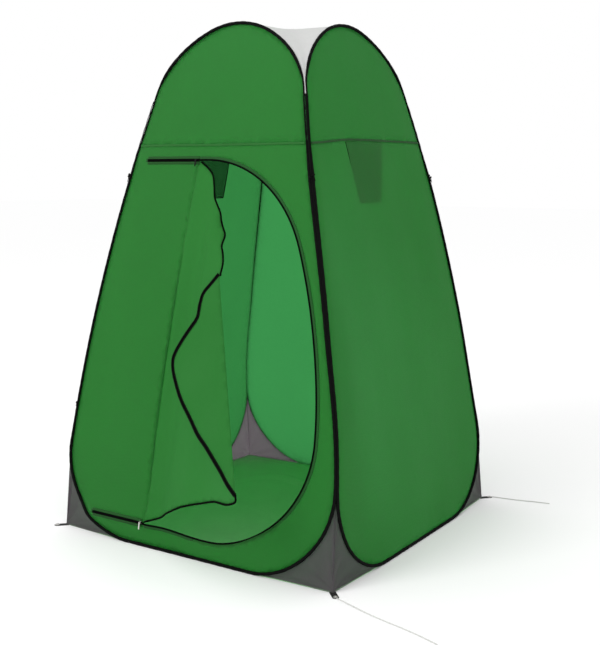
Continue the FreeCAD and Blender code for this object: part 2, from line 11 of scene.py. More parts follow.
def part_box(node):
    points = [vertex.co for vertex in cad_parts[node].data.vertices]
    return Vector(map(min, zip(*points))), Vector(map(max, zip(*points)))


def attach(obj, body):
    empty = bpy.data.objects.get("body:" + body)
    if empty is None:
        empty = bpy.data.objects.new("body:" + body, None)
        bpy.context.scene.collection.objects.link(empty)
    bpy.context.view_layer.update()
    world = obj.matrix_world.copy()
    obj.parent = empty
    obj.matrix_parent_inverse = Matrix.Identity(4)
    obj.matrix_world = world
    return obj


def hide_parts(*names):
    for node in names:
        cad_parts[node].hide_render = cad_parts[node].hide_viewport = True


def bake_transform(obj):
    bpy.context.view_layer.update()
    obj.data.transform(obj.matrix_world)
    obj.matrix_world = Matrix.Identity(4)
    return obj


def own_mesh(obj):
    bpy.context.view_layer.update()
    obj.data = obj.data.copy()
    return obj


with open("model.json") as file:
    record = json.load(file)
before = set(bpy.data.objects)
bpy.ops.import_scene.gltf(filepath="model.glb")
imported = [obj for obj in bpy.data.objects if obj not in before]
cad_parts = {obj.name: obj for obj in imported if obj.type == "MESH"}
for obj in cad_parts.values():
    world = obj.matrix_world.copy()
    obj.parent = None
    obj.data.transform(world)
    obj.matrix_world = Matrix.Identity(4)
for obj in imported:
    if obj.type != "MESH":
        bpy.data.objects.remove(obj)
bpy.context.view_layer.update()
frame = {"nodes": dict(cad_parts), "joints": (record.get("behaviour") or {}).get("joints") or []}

# Looks of the pop-up shower tent, in metres, in the frame of the CAD: +Z up, the door faces -Y.
# A wall is drawn in u (to the right, seen from outside) and z (height), and bulges a little.

WALLS = ["front", "right", "back", "left"]
FRONT, RIGHT, BACK, LEFT = range(4)

# ---- walls and hoops ----
FOOT = 0.6231             # centre to a wall at the ground
LEAN = 0.1793             # how far it leans in, per unit of height
BOW = 0.0438              # how far it bulges at the middle of its height
BOW_MIDDLE = 0.932
CAD_FOOT = 0.6491         # the same, for the flat wall that the zips and sliders lie on
CAD_LEAN = 0.178
SLOPE = 0.9843            # height gained per length up the wall
HOOP_BOTTOM = 0.006
HOOP_CORNER = 0.2847
HOOP_CORNER_U = 0.2795
HOOP_SIDE_ANGLE = math.radians(10.01)
ARCH_RADIUS = 0.3283
ARCH_CENTRE = 1.5948
ARCH_SPREAD = 0.0055      # how much wider the arches are drawn just above the corners
SLEEVE = 0.0058
SLEEVE_AT_CORNER = 0.0045  # the sleeve is pressed thinner where two walls meet
SLEEVE_AT_ARCH = 0.0031   # and thinnest just below the arches
SLEEVE_OUT = 0.002        # the sleeve is sewn on the wall's outer side
TUCK = 0.0042             # the cloth is drawn in behind the sleeve
CLOTH_PAST_HOOP = 0.0004  # and runs on this far past the hoop's centreline
HOOP_FOOT_TOP = 0.0095    # below this the wall's edge lies on the ground,
GROUND_EDGE = 0.0012      # at this height
TWIST_TOP = -0.040        # the tent stands a little twisted: this far round at the arches
TWIST_LOW = 0.025         # and this far the other way at knee height, in radians
TWIST_LOW_HEIGHT = 0.50
WIRE = 0.0018
SEAM = 1.460              # height of the cross seam at the front
SEAM_RISE = 0.020         # how much higher it runs on the other walls

# ---- door ----
DOOR_TOP = 1.405
DOOR_FOOT = 0.092
FOLD_TOP = -0.094
FOLD_FOOT = -0.186
DOOR_WIDEST = 0.503
DOOR_FOOT_RADIUS = 0.390
DOOR_SIDE_RADIUS = 1.780
DOOR_TOP_RADIUS = 0.468
SILL_SAG = 0.017          # the door's foot hangs this much lower in its middle
SILL_MIDDLE = 0.083
SILL_SPREAD = 0.177
CLOSED_ZIPS = {"upper": (DOOR_TOP, -0.340, FOLD_TOP), "lower": (DOOR_FOOT, -0.440, FOLD_FOOT)}
ZIP_TAPE = 0.013
COIL = 0.0037
FLAP_SWING = math.radians(24.0)

GROUND_CORNER = 0.608     # centre to the pegged corners
CLOTH = 0.0008
STITCH = 0.0032
STITCH_GAP = 0.0022
THREAD = 0.0004

# ---- walls: where a spot of a wall is ----

def smooth(low, high, x):
    t = min(1.0, max(0.0, (x - low) / (high - low)))
    return t * t * (3 - 2 * t)


def bow(z):
    return BOW * max(0.0, 1 - ((z - BOW_MIDDLE) / BOW_MIDDLE) ** 2)


def bulge(z):
    """How much wider the bulge makes a wall at this height."""
    return 1 + bow(z) / (FOOT - LEAN * z)


def twist(z):
    """How far round the tent is turned at this height."""
    low = TWIST_LOW * math.exp(-((z - TWIST_LOW_HEIGHT) / 0.3) ** 2) * smooth(0.0, 0.2, z)
    return low + TWIST_TOP * smooth(0.85, 1.55, z)


def held_flat(u, z):
    """How firmly a zipped-up length keeps this spot of the front wall flat: 0 to 1."""
    held = 0.0
    for height, left, right in CLOSED_ZIPS.values():
        shift = CAD_FOOT * twist(height) * (1 - CAD_LEAN * height / CAD_FOOT)
        beyond = max(left - shift - u, u - right + shift, 0.0) / 0.06
        held = max(held, math.exp(-((z - height) / 0.05) ** 2 - beyond ** 2))
    return held


def wall_offset(turns, u, z):
    offset = FOOT - LEAN * z + bow(z)
    if turns == FRONT:
        flat = CAD_FOOT - CAD_LEAN * z + twist(z) * u
        offset += (flat - offset) * held_flat(u, z)
    return offset


def turned(turns, x, y, z):
    """A point of the front wall, taken round to another wall and turned by the tent's twist."""
    angle = turns * math.pi / 2 + twist(z)
    c, s = math.cos(angle), math.sin(angle)
    return Vector((c * x - s * y, s * x + c * y, z))


def front_u(x, z):
    """Where along the front wall a spot at x is, once the twist is taken out."""
    return (x - wall_offset(FRONT, x, z) * math.sin(twist(z))) / math.cos(twist(z))


def on_wall(turns, u, z, out=0.0):
    """A spot of a wall, moved out along the wall's own normal."""
    rise = LEAN + 2 * BOW * (z - BOW_MIDDLE) / BOW_MIDDLE ** 2
    length = math.hypot(1, rise)
    offset = wall_offset(turns, u, z) + out / length
    return turned(turns, u, -offset, z + out * rise / length)


def wall_normal(turns, u, z):
    return on_wall(turns, u, z, 1.0) - on_wall(turns, u, z)


def seam_height(turns, u):
    """Height of the cross seam. It dips towards the front wall's corners."""
    if turns == FRONT:
        return SEAM
    if turns == BACK:
        return SEAM + SEAM_RISE
    towards_back = u if turns == RIGHT else -u
    return SEAM + SEAM_RISE * smooth(-0.42, -0.10, towards_back)


def half_width(z, inset=0.0):
    """Half a wall's width between its hoop's corners and its arch."""
    v = z / SLOPE
    low_v = HOOP_BOTTOM + HOOP_CORNER * (1 + math.sin(HOOP_SIDE_ANGLE))
    low_u = HOOP_CORNER_U + HOOP_CORNER * math.cos(HOOP_SIDE_ANGLE)
    return (low_u - (v - low_v) * math.tan(HOOP_SIDE_ANGLE) - inset) * bulge(z)


def spread(u, z):
    """How far sideways an arch is drawn out just above the corner seams."""
    return math.copysign(ARCH_SPREAD, u) * smooth(1.60, 1.69, z) * (1 - smooth(1.75, 1.86, z))


def arc(centre_u, centre_v, radius, start, end, count=24):
    """Points of an arc, from one angle to another."""
    angles = [start + (end - start) * k / count for k in range(count + 1)]
    return [(centre_u + radius * math.cos(a), centre_v + radius * math.sin(a)) for a in angles]


def hoop_outline(inset=0.0, step=0.012):
    """The hoop's closed outline as (u, z) points, anticlockwise from the middle of its foot."""
    side, quarter = HOOP_SIDE_ANGLE, math.pi / 2
    half = [(0.0, HOOP_BOTTOM + inset)]
    half += arc(HOOP_CORNER_U, HOOP_BOTTOM + HOOP_CORNER, HOOP_CORNER - inset, -quarter, side)
    half += arc(0.0, ARCH_CENTRE, ARCH_RADIUS - inset, side, quarter)
    full = half + [(-u, v) for u, v in reversed(half[1:-1])]
    dense = resample(full, step, closed=True)
    return [(u * bulge(v * SLOPE) + spread(u, v * SLOPE), v * SLOPE) for u, v in dense]


def resample(points, step, closed=False):
    """The polyline's points, evenly spaced about step apart."""
    p = np.array(points + points[:1] if closed else points, float)
    lengths = np.r_[0, np.cumsum(np.linalg.norm(np.diff(p, axis=0), axis=1))]
    count = max(2, round(lengths[-1] / step))
    where = np.linspace(0, lengths[-1], count + 1)
    out = np.stack([np.interp(where, lengths, p[:, k]) for k in range(p.shape[1])], axis=1)
    return [tuple(q) for q in (out[:-1] if closed else out)]


def spline(points, step):
    """A smooth curve through the points, resampled."""
    p = [np.array(q, float) for q in points]
    p = [2 * p[0] - p[1]] + p + [2 * p[-1] - p[-2]]
    curve = []
    for a, b, c, d in zip(p, p[1:], p[2:], p[3:]):
        for t in np.linspace(0, 1, 12, endpoint=False):
            curve.append(0.5 * (2 * b + (c - a) * t + (2 * a - 5 * b + 4 * c - d) * t ** 2
                                + (3 * b - a - 3 * c + d) * t ** 3))
    curve.append(p[-2])
    return resample([tuple(q) for q in curve], step)


def fold_u(z):
    """The line the flap swings on, in the front wall."""
    return FOLD_FOOT + (FOLD_TOP - FOLD_FOOT) * (z - DOOR_FOOT) / (DOOR_TOP - DOOR_FOOT)


def door_curve(grow=0.0):
    """The doorway as (u, z), from the foot of the fold line round its rounded side to its top."""
    widest = DOOR_FOOT + DOOR_FOOT_RADIUS * SLOPE
    side_u = DOOR_WIDEST - DOOR_SIDE_RADIUS
    foot_u = DOOR_WIDEST - DOOR_FOOT_RADIUS
    top_v = DOOR_TOP / SLOPE - DOOR_TOP_RADIUS
    wide_v = widest / SLOPE
    top_u = side_u + math.sqrt((DOOR_SIDE_RADIUS - DOOR_TOP_RADIUS) ** 2 - (top_v - wide_v) ** 2)
    meet = math.atan2(top_v - wide_v, top_u - side_u)
    points = [(x, (DOOR_FOOT / SLOPE) - grow) for x in np.linspace(FOLD_FOOT, foot_u, 25)[:-1]]
    bends = [(foot_u, wide_v, DOOR_FOOT_RADIUS, -math.pi / 2, 0),
             (side_u, wide_v, DOOR_SIDE_RADIUS, 0, meet),
             (top_u, top_v, DOOR_TOP_RADIUS, meet, math.pi / 2)]
    for centre_u, centre_v, radius, start, end in bends:
        points += arc(centre_u, centre_v, radius + grow, start, end)
    points += [(x, DOOR_TOP / SLOPE + grow) for x in np.linspace(top_u, FOLD_TOP, 9)[1:]]
    outline = []
    for x, v in points:
        z = v * SLOPE
        if z < 0.4:
            z -= SILL_SAG * math.exp(-((x - SILL_MIDDLE) / SILL_SPREAD) ** 2)
        outline.append((front_u(x, z), z))
    return outline


def tucked(spots, outline):
    """How far in each (u, z) is drawn, to pass behind the sleeve along the outline."""
    line = np.array(outline)
    depth = []
    for u, z in spots:
        near = float(np.min(np.hypot(line[:, 0] - u, line[:, 1] - z)))
        depth.append(TUCK * (1 - smooth(SLEEVE, 4.5 * SLEEVE, near)))
    return depth


def ripple(turns, u, z):
    """Soft creases of a wall: a few slow waves, fading out at the hoop."""
    phase = 1.7 * turns
    inside = smooth(0.0, 0.12, half_width(min(1.6, max(0.35, z))) - abs(u))
    slow = math.sin(5.1 * u + 3.3 * z + phase) + 0.6 * math.sin(9.7 * u - 6.1 * z + 2.1 * phase)
    gathered = math.exp(-((z - SEAM - 0.5 * SEAM_RISE) / 0.045) ** 2)
    puckers = gathered * (math.sin(71 * u + phase) + 0.7 * math.sin(113 * u + 2 * phase))
    return inside * (0.0026 * slow + 0.0009 * math.sin(23 * u + 4 * z + phase) + 0.0005 * puckers)


# ---- meshes ----

def label(node=None):
    """Hides the CAD node that this piece stands for, if one is given."""
    if node:
        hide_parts(node)


def place(obj, body, node=None):
    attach(obj, body)
    label(node)


def add(name, verts, faces, material):
    mesh = bpy.data.meshes.new(name)
    mesh.from_pydata([tuple(v) for v in verts], [], faces)
    mesh.validate()
    mesh.polygons.foreach_set("use_smooth", [True] * len(mesh.polygons))
    mesh.materials.append(material)
    obj = bpy.data.objects.new(name, mesh)
    bpy.context.scene.collection.objects.link(obj)
    return obj


def thicken(obj, thickness=CLOTH):
    mod = obj.modifiers.new("thickness", "SOLIDIFY")
    mod.thickness = thickness
    mod.offset = 0
    return obj


def grid_faces(rows, columns, wrap=False):
    faces = []
    for i in range(rows - 1):
        for j in range(columns if wrap else columns - 1):
            k = (j + 1) % columns
            faces.append((i * columns + j, i * columns + k, (i + 1) * columns + k, (i + 1) * columns + j))
    return faces


def fill(outline, spacing, hole=None):
    """Even triangles inside a (u, z) outline and outside a hole."""
    loops = [np.array(outline, float)] + ([np.array(hole, float)] if hole is not None else [])
    low, high = loops[0].min(0), loops[0].max(0)
    rows = np.arange(low[1] + spacing / 2, high[1], spacing * 0.866)
    spots = []
    for k, z in enumerate(rows):
        for u in np.arange(low[0] + (k % 2) * spacing / 2, high[0], spacing):
            spots.append((u, z))
    spots = np.array(spots)
    keep = inside(loops[0], spots)
    for loop in loops[1:]:
        keep &= ~inside(loop, spots)
    for loop in loops:
        far = np.min(np.linalg.norm(spots[:, None, :] - loop[None, :, :], axis=2), axis=1)
        keep &= far > spacing * 0.55
    verts, edges, start = [], [], 0
    for loop in loops:
        verts += [Vector(q) for q in loop]
        edges += [(start + k, start + (k + 1) % len(loop)) for k in range(len(loop))]
        start += len(loop)
    verts += [Vector(q) for q in spots[keep]]
    flat, _, faces, *_ = delaunay_2d_cdt(verts, edges, [], 0, 1e-6)
    flat = np.array([tuple(q) for q in flat])
    middle = np.array([flat[list(f)].mean(0) for f in faces])
    good = inside(loops[0], middle)
    for loop in loops[1:]:
        good &= ~inside(loop, middle)
    return flat, [tuple(f) for f, ok in zip(faces, good) if ok]


def inside(loop, spots):
    """Which spots lie inside a closed loop, by counting crossings."""
    x, y = spots[:, 0][:, None], spots[:, 1][:, None]
    x0, y0 = loop[:, 0][None, :], loop[:, 1][None, :]
    x1, y1 = np.roll(loop[:, 0], -1)[None, :], np.roll(loop[:, 1], -1)[None, :]
    straddles = (y0 > y) != (y1 > y)
    with np.errstate(divide="ignore", invalid="ignore"):
        cross = x0 + (y - y0) * (x1 - x0) / (y1 - y0)
    return (np.sum(straddles & (x < cross), axis=1) % 2) == 1


def tube(name, path, radius, material, sides=10, closed=False):
    """A tube along a path. radius is a number, or a function of the point's index."""
    p = np.array([tuple(q) for q in path], float)
    ahead = np.roll(p, -1, 0) if closed else np.vstack([p[1:], p[-1:]])
    behind = np.roll(p, 1, 0) if closed else np.vstack([p[:1], p[:-1]])
    along = ahead - behind
    along /= np.linalg.norm(along, axis=1)[:, None] + 1e-12
    side = np.cross(along[0], (0.31, 0.52, 0.8))
    verts = []
    for k in range(len(p)):
        side = side - along[k] * (side @ along[k])
        side /= np.linalg.norm(side)
        other = np.cross(along[k], side)
        r = radius(k) if callable(radius) else radius
        for s in range(sides):
            a = 2 * math.pi * s / sides
            verts.append(p[k] + r * (math.cos(a) * side + math.sin(a) * other))
    faces = grid_faces(len(p), sides, wrap=True)
    if closed:
        last = (len(p) - 1) * sides
        start = np.array(verts[:sides])
        end = np.array(verts[last:])
        shift = int(np.argmin([np.sum((np.roll(start, -s, 0) - end) ** 2) for s in range(sides)]))
        for s in range(sides):
            a, b = (s + shift) % sides, (s + 1 + shift) % sides
            faces.append((last + s, last + (s + 1) % sides, b, a))
    else:
        faces.append(tuple(reversed(range(sides))))
        faces.append(tuple((len(p) - 1) * sides + s for s in range(sides)))
    return add(name, verts, faces, material)


def ribbon(name, path, normals, width, material, thickness):
    """A strip of tape along a path, lying flat against the normals."""
    p = np.array([tuple(q) for q in path], float)
    along = np.gradient(p, axis=0)
    verts = []
    for k in range(len(p)):
        n = np.array(normals[k], float)
        across = np.cross(along[k], n)
        across /= np.linalg.norm(across) + 1e-12
        n /= np.linalg.norm(n)
        for s, lift in ((-0.5, 0.0), (-0.2, 0.0003), (0.2, 0.0003), (0.5, 0.0)):
            verts.append(p[k] + across * (width * s) + n * lift)
    return thicken(add(name, verts, grid_faces(len(p), 4), material), thickness)


def stitches(name, lines, material):
    """Rows of thread stitches, each a thin spindle, along the lines."""
    verts, faces = [], []
    for path in lines:
        dense = resample([tuple(q) for q in path], STITCH + STITCH_GAP)
        for a, b in zip(dense, dense[1:]):
            a, b = np.array(a), np.array(b)
            along = (b - a) / np.linalg.norm(b - a)
            side = np.cross(along, (0.2, 0.3, 0.93))
            side /= np.linalg.norm(side)
            other = np.cross(along, side)
            n = len(verts)
            middle = a + along * STITCH / 2
            verts += [a, middle + side * THREAD, middle + other * THREAD, middle - side * THREAD,
                      middle - other * THREAD, a + along * STITCH]
            for k in range(4):
                j = (k + 1) % 4
                faces += [(n, n + 1 + j, n + 1 + k), (n + 5, n + 1 + k, n + 1 + j)]
    return add(name, verts, faces, material)


# ---- materials ----

class Shading:
    """The nodes of a material or a world. Its functions each add a node and give back its output."""

    def __init__(self, owner):
        owner.use_nodes = True
        self.owner = owner
        self.tree = owner.node_tree
        self.tree.nodes.clear()

    def node(self, kind, inputs, output=0, **settings):
        """A node whose inputs are set to values, or linked to other nodes' outputs."""
        node = self.tree.nodes.new("ShaderNode" + kind)
        for name, value in settings.items():
            setattr(node, name, value)
        for key, value in inputs.items():
            if isinstance(value, bpy.types.NodeSocket):
                self.tree.links.new(value, node.inputs[key])
            else:
                node.inputs[key].default_value = value
        return node.outputs[output]

    def spot(self):
        return self.node("TexCoord", {}, "Object")

    def maths(self, operation, a, b):
        return self.node("Math", {0: a, 1: b}, operation=operation)

    def noise(self, scale, detail=2.0, stretch=(1, 1, 1)):
        stretched = self.node("Mapping", {"Vector": self.spot(), "Scale": stretch})
        return self.node("TexNoise", {"Vector": stretched, "Scale": scale, "Detail": detail})

    def weave(self, pitch):
        """Warp and weft: crossed sets of threads, whichever way the cloth faces."""
        x, y, z = [self.node("TexWave", {"Vector": self.spot(), "Scale": WAVES_PER_PITCH / pitch}, "Fac",
                             bands_direction=direction) for direction in "XYZ"]
        return self.maths("MULTIPLY", self.maths("ADD", x, y), z)

    def toned(self, colour, tone):
        return self.node("VectorMath", {0: colour, "Scale": tone}, operation="SCALE")

    def mix(self, share, first, second):
        return self.node("MixShader", {0: share, 1: first, 2: second})

    def finish(self, surface, kind="ShaderNodeOutputMaterial"):
        self.tree.links.new(surface, self.tree.nodes.new(kind).inputs["Surface"])
        return self.owner


WAVES_PER_PITCH = 0.314   # a wave texture of scale 1 repeats this often per unit of length
TONE_VARIES = 0.10        # how much a cloth's colour varies
CREASE_DEPTH = 0.012
GRAIN_DEPTH = 0.0004


def fabric(name, colour, glow=0.0, glow_colour=None, pitch=0.0011, rough=0.62, sheen=0.03,
           crease=0.35, weave_depth=0.25, shine=0.12, gaps=0.0):
    """Woven coated cloth: slow and fine colour variation, weave, small creases, light through it and,
    in a net, gaps between its threads."""
    s = Shading(bpy.data.materials.new(name))
    slow = s.maths("MULTIPLY", s.noise(3.1, 3.0), TONE_VARIES)
    fine = s.maths("MULTIPLY", s.noise(90.0), TONE_VARIES * 0.6)
    threads = s.weave(pitch)
    tone = s.maths("ADD", s.maths("ADD", slow, fine), s.maths("MULTIPLY", threads, TONE_VARIES * 0.35))
    tone = s.maths("ADD", tone, 1.0 - TONE_VARIES * 1.1)
    woven = s.node("Bump", {"Strength": weave_depth, "Distance": pitch * 0.3, "Height": threads})
    creases = s.maths("ADD", s.noise(7.0, 2.0, (1, 1, 0.45)), s.maths("MULTIPLY", s.noise(26.0), 0.18))
    bump = s.node("Bump", {"Strength": crease, "Distance": CREASE_DEPTH, "Height": creases,
                           "Normal": woven})
    surface = s.node("BsdfPrincipled", {
        "Roughness": rough, "Sheen Weight": sheen, "Specular IOR Level": shine,
        "Base Color": s.toned(colour, tone), "Normal": bump})
    if glow:
        through = s.node("BsdfTranslucent", {"Color": s.toned(glow_colour or colour, tone)})
        # light leaves the thin sheet freely on its far side, so a sheet filters it once
        far_side = s.node("NewGeometry", {}, "Backfacing")
        surface = s.mix(far_side, s.mix(glow, surface, through), s.node("BsdfTransparent", {}))
    if gaps:
        open_here = s.maths("MULTIPLY", s.maths("LESS_THAN", threads, 0.35), gaps)
        surface = s.mix(open_here, surface, s.node("BsdfTransparent", {}))
    return s.finish(surface)


def hard(name, colour, metal=0.0, rough=0.35):
    """Metal or moulded plastic: fine grain in colour, gloss and surface."""
    s = Shading(bpy.data.materials.new(name))
    grain = s.noise(260.0, 3.0)
    tone = s.maths("ADD", s.maths("MULTIPLY", grain, 0.3), 0.85)
    return s.finish(s.node("BsdfPrincipled", {
        "Metallic": metal, "Specular IOR Level": 0.5 if metal else 0.03,
        "Base Color": s.toned(colour, tone),
        "Roughness": s.maths("ADD", s.maths("MULTIPLY", grain, 0.2), rough - 0.1),
        "Normal": s.node("Bump", {"Strength": 0.15, "Distance": GRAIN_DEPTH, "Height": grain})}))


GREEN_GLOW = (0.10, 0.62, 0.17)
MATT = {"rough": 0.8, "sheen": 0.0, "shine": 0.05}

LOOK = {
    "wall": fabric("wall_cloth", (0.027, 0.155, 0.030), 0.42, GREEN_GLOW),
    # painted shade: the left wall gets a darker copy of the wall cloth, with less light through it, so
    # that its inner side looks shaded
    "wall_painted_shade": fabric("wall_cloth_painted_shade", (0.028, 0.150, 0.031), 0.29, (0.095, 0.60, 0.155)),
    # painted shade: the flap and its turned corner are a darker copy of the wall cloth with little light
    # through it, so the open flap looks no brighter than the wall
    "flap": fabric("flap_cloth", (0.022, 0.150, 0.026), 0.08, GREEN_GLOW, crease=0.45, shine=0.05,
                   sheen=0.0),
    # painted light: the floor is made far lighter than the wall cloth it matches, standing in for the
    # light inside the tent
    "floor": fabric("floor_cloth", (0.34, 0.67, 0.34), pitch=0.0016, crease=0.5),
    "grey": fabric("gusset_cloth", (0.087, 0.079, 0.085), 0.32, (0.40, 0.34, 0.385), 0.0013, crease=0.5),
    "roof": fabric("roof_cloth", (0.72, 0.68, 0.71), 0.28, (0.75, 0.70, 0.74), 0.0012, crease=0.3),
    "sleeve": fabric("hoop_sleeve", (0.0035, 0.0035, 0.0035), pitch=0.0014, **MATT),
    "binding": fabric("seam_binding", (0.004, 0.0045, 0.004), pitch=0.0012, **MATT),
    "seam": fabric("seam", (0.019, 0.125, 0.022), 0.1, GREEN_GLOW, crease=0.6),
    # painted shade: on the right, back and left walls the cross seam is the seam cloth at half its
    # brightness, with less light through it
    "seam_in_painted_shade": fabric("seam_in_painted_shade", (0.010, 0.062, 0.012), 0.04, GREEN_GLOW, crease=0.6),
    "thread": fabric("seam_thread", (0.03, 0.19, 0.035), pitch=0.0005, crease=0.0),
    "black_thread": fabric("black_thread", (0.012, 0.012, 0.012), pitch=0.0005, crease=0.0),
    "zip_band": fabric("closed_zip_tape", (0.019, 0.098, 0.021), 0.30, (0.03, 0.165, 0.034), 0.0008,
                       crease=0.1),
    "tape": fabric("zip_tape", (0.010, 0.070, 0.013), pitch=0.0008, crease=0.1),
    "coil": hard("zip_coil", (0.0012, 0.0013, 0.0012), rough=0.8),
    "cord": fabric("tie_cord", (0.005, 0.005, 0.005), pitch=0.001, crease=0.0, sheen=0.0, shine=0.05),
    "guy": fabric("guy_cord", (0.62, 0.62, 0.60), pitch=0.0012, crease=0.0),
    "webbing": fabric("webbing", (0.012, 0.012, 0.012), pitch=0.0022, crease=0.0, weave_depth=0.8),
    "eyelet": hard("eyelet", (0.55, 0.54, 0.52), metal=1.0, rough=0.32),
    "steel": hard("spring_wire", (0.32, 0.32, 0.33), metal=1.0, rough=0.3),
    "pull_black": hard("zip_pull_black", (0.012, 0.012, 0.012), rough=0.4),
    "pull_metal": hard("zip_pull_metal", (0.62, 0.61, 0.58), metal=1.0, rough=0.28),
    "tack": fabric("bar_tack", (0.016, 0.10, 0.02), pitch=0.0009, crease=0.0, weave_depth=0.9),
    "net": fabric("net", (0.006, 0.030, 0.008), 0.2, pitch=0.0026, gaps=0.45),
}


def paint(nodes, material):
    """Gives carried-over CAD nodes their material."""
    for name in nodes:
        obj = frame["nodes"][name]
        if not obj.material_slots:
            obj.data.materials.append(material)
        for slot in obj.material_slots:
            slot.material = material


# ---- walls ----

def wall_panels(turns):
    """Upper and lower cloth of one wall, met at the cross seam."""
    name = WALLS[turns]
    body = name + "_wall"
    outline = hoop_outline(-CLOTH_PAST_HOOP, 0.014)
    outline = [(u, GROUND_EDGE if z < HOOP_FOOT_TOP else z) for u, z in outline]
    lower = [(u, z) for u, z in outline if z < seam_height(turns, u) - 0.006]
    upper = [(u, z) for u, z in outline if z > seam_height(turns, u) + 0.006]
    lower = order_from_seam(lower, low=True)
    upper = order_from_seam(upper, low=False)
    spots = np.linspace(seam_end(turns, -1), seam_end(turns, 1), 61)
    seam_line = [(u, seam_height(turns, u)) for u in spots]
    hole = None
    if turns == FRONT:
        fold = [(front_u(fold_u(z), z), z) for z in np.linspace(DOOR_TOP, DOOR_FOOT, 95)]
        hole = resample(door_curve(), 0.014) + fold[1:-1]
    centreline = hoop_outline(0.0, 0.004)
    for part, ring in (("lower", lower + seam_line[::-1]), ("upper", upper + seam_line)):
        flat, faces = fill(ring, 0.022, hole if part == "lower" else None)
        verts = [on_wall(turns, u, z, ripple(turns, u, z) - tuck)
                 for (u, z), tuck in zip(flat, tucked(flat, centreline))]
        # the left wall is drawn in the darker copy of the wall cloth, as painted shade
        cloth = LOOK["wall_painted_shade"] if turns == LEFT else LOOK["wall"]
        panel = thicken(add(f"cloth_{part}_{name}", verts, faces, cloth))
        place(panel, body, f"panel_{part}_{name}")


def seam_end(turns, side):
    """Where the cross seam meets the hoop."""
    u = side * 0.38
    for _ in range(4):
        u = side * half_width(seam_height(turns, u), -CLOTH_PAST_HOOP)
    return u


def order_from_seam(points, low):
    """An open run of outline points, ordered from one end of the seam to the other."""
    n = len(points)
    gaps = [math.dist(points[k], points[(k + 1) % n]) for k in range(n)]
    start = (gaps.index(max(gaps)) + 1) % n
    run = points[start:] + points[:start]
    starts_left = run[0][0] < 0
    return run if starts_left == low else run[::-1]


def pinch(z):
    """How tightly the sleeves are drawn together at the corners, below the arches: 0 to 1."""
    return smooth(1.34, 1.47, z) * (1 - smooth(1.66, 1.74, z))


def hoop(turns):
    """The black sleeve, a little puckered by its sewing, and the spring wire in it."""
    name = WALLS[turns]
    outline = hoop_outline(0.0, 0.009)
    path = [on_wall(turns, u, z, SLEEVE_OUT * (1 - pinch(z))) for u, z in outline]
    phase = 2.0 * turns

    def puckered(k):
        z = outline[k % len(outline)][1]
        at_corner = smooth(0.30, 0.42, z) * (1 - smooth(1.60, 1.72, z))
        radius = SLEEVE + (SLEEVE_AT_CORNER - SLEEVE) * at_corner
        radius += (SLEEVE_AT_ARCH - radius) * pinch(z)
        pucker = math.sin(k * 1.9 + phase) + 0.7 * math.sin(k * 0.83 + 2 * phase)
        return radius * (1 + 0.05 * pucker)

    sleeve = tube(f"sleeve_{name}", path, puckered, LOOK["sleeve"], sides=12, closed=True)
    place(sleeve, name + "_wall", "hoop_sleeve_" + name)
    wire = tube(f"wire_{name}", path, WIRE, LOOK["steel"], sides=8, closed=True)
    place(wire, name + "_wall", "hoop_wire_" + name)
    inner = [on_wall(turns, u, z, -TUCK * 0.7) for u, z in hoop_outline(SLEEVE + 0.0035, 0.009)]
    row = stitches(f"sleeve_stitching_{name}", [inner + inner[:1]], LOOK["black_thread"])
    place(row, name + "_wall")


def cross_seam(turns):
    """A flat-felled seam: a folded strip with two rows of stitches."""
    name = WALLS[turns]
    left, right = seam_end(turns, -1) + 2 * SLEEVE, seam_end(turns, 1) - 2 * SLEEVE
    spots = np.linspace(left, right, 121)
    path, normals = [], []
    for u in spots:
        z = seam_height(turns, u)
        path.append(on_wall(turns, u, z, 0.0009 + ripple(turns, u, z)))
        normals.append(wall_normal(turns, u, z))
    # away from the front wall the seam takes its darker copy, as painted shade
    cloth = LOOK["seam"] if turns == FRONT else LOOK["seam_in_painted_shade"]
    strip = ribbon(f"cross_seam_{name}", path, normals, 0.008, cloth, 0.0012)
    place(strip, name + "_wall", "seam_tape_" + name)
    rows = []
    for shift in (-0.0026, 0.0026):
        rows.append([on_wall(turns, u, seam_height(turns, u) + shift,
                             0.0019 + ripple(turns, u, seam_height(turns, u))) for u in spots])
    thread = stitches(f"cross_seam_stitching_{name}", rows, LOOK["thread"])
    place(thread, name + "_wall")


# ---- corners ----

# each corner's two walls, going round; at the back corner the walls aren't joined
CORNERS = {"front": (FRONT, RIGHT), "right": (RIGHT, BACK), "back": (BACK, LEFT), "left": (LEFT, FRONT)}
JOINED = {"front": (FRONT, RIGHT), "right": (RIGHT, BACK), "left": (FRONT, LEFT)}  # (parent, child)


def corner_spot(name):
    turns = CORNERS[name][0]
    return turned(turns, GROUND_CORNER, -GROUND_CORNER, 0.0022)


def bend_at_corner(obj, name, reach=0.03):
    """For a piece that joins two walls, bakes its placement into its mesh and says True; for any other
    corner says False.
    """
    if name not in JOINED:
        return False
    first, second = CORNERS[name]
    parent, child = JOINED[name]
    across = (turned(second, 1, 0, 0) + turned(first, 1, 0, 0)).normalized() * reach
    if child == first:
        across.negate()
    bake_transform(obj)
    return True


def corner_rim(turns, side, count):
    """The hoop's round lower corner, from its foot up to the corner seam."""
    points = []
    middle_v = HOOP_BOTTOM + HOOP_CORNER
    for u, v in arc(HOOP_CORNER_U, middle_v, HOOP_CORNER, -math.pi / 2, HOOP_SIDE_ANGLE, count):
        z = v * SLOPE
        points.append(on_wall(turns, side * u * bulge(z), z, -0.002))
    z = points[-1].z
    offset = wall_offset(turns, side * 0.6, z) + 0.001
    points.append(turned(turns, side * offset, -offset, z))
    return points


